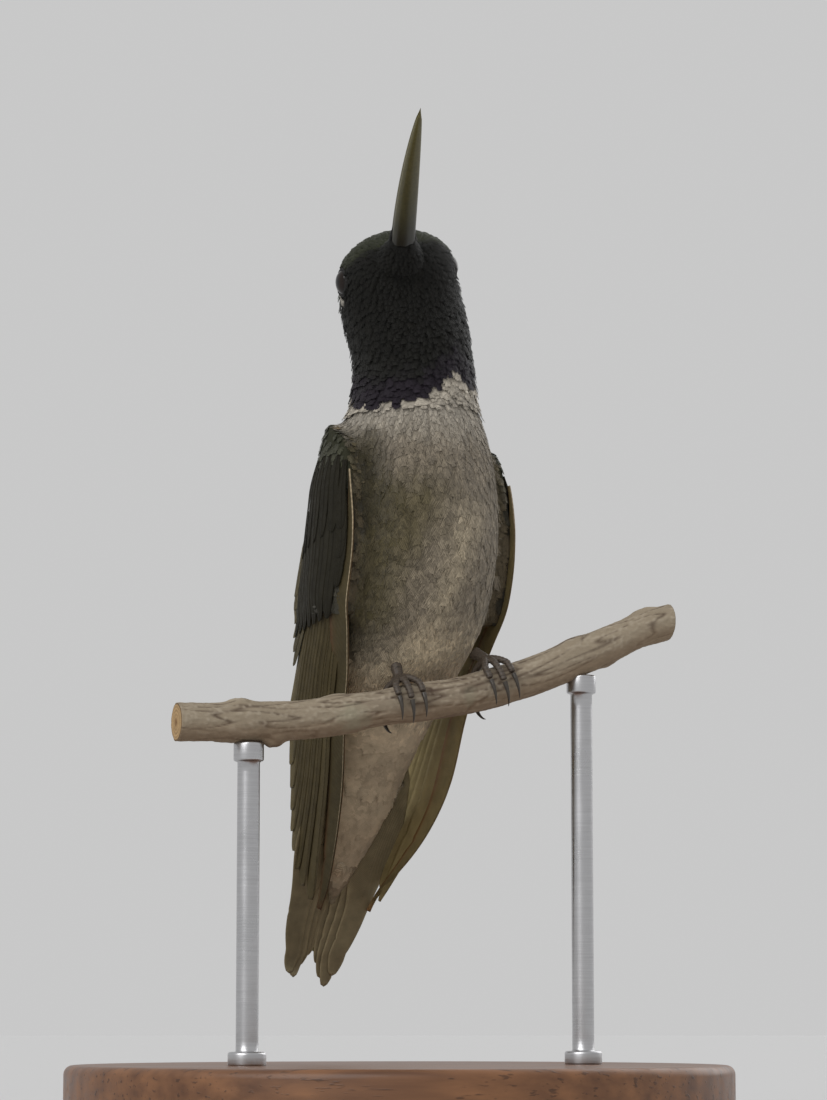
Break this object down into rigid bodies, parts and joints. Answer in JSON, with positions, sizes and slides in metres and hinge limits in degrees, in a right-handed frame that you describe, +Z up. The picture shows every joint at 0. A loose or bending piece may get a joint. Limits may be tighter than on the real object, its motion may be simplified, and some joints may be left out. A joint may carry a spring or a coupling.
{
  "type": "perched hummingbird model",
  "caption": "Life-size still model of a male black-chinned hummingbird that perches upright on a cut twig, held by a round base with two rods.",
  "frame": {"origin": "middle of the stand base's underside", "axes": "+Z up, -Y towards the side that the bird's bill points to, +X towards the bird's left"},
  "size_m": [0.06, 0.06, 0.0885],
  "materials": {
    "head_feathers": "black feathers with a faint green gloss on the crown",
    "gorget_feathers": "black scale-like feathers with a violet band at the lower edge",
    "body_feathers": "soft grey-buff feathers, paler at the collar, dusky olive on the flanks",
    "back_feathers": "bronze-green glossy feathers",
    "wing_feathers": "dusky brown flight feathers with a dull gloss",
    "tail_feathers": "blackish tail feathers, the middle pair green",
    "bill": "black horn, smooth, brownish at the tip",
    "eye": "dark brown, wet",
    "leg_skin": "dusky scaled skin",
    "claw": "black horn",
    "bark": "weathered grey-brown bark with a pale cut at each end",
    "stand_wood": "dark walnut under satin varnish",
    "stand_metal": "brushed steel"
  },
  "bodies": {
    "root": {"bill_lower": "bill", "bill_upper": "bill", "claw_left_hind": "claw", "claw_left_inner": "claw", "claw_left_middle": "claw", "claw_left_outer": "claw", "claw_right_hind": "claw", "claw_right_inner": "claw", "claw_right_middle": "claw", "claw_right_outer": "claw", "eye_left": "eye", "eye_right": "eye", "head": "head_feathers", "leg_left": "leg_skin", "leg_right": "leg_skin", "neck": "gorget_feathers", "perch": "bark", "stand_base": "stand_wood", "stand_rod_high": "stand_metal", "stand_rod_low": "stand_metal", "tail": "tail_feathers", "trunk": "body_feathers", "undertail_coverts": "body_feathers", "uppertail_coverts": "back_feathers", "wing_left_coverts": "wing_feathers", "wing_left_feathers": "wing_feathers", "wing_right_coverts": "wing_feathers", "wing_right_feathers": "wing_feathers"}
  },
  "joints": []
}
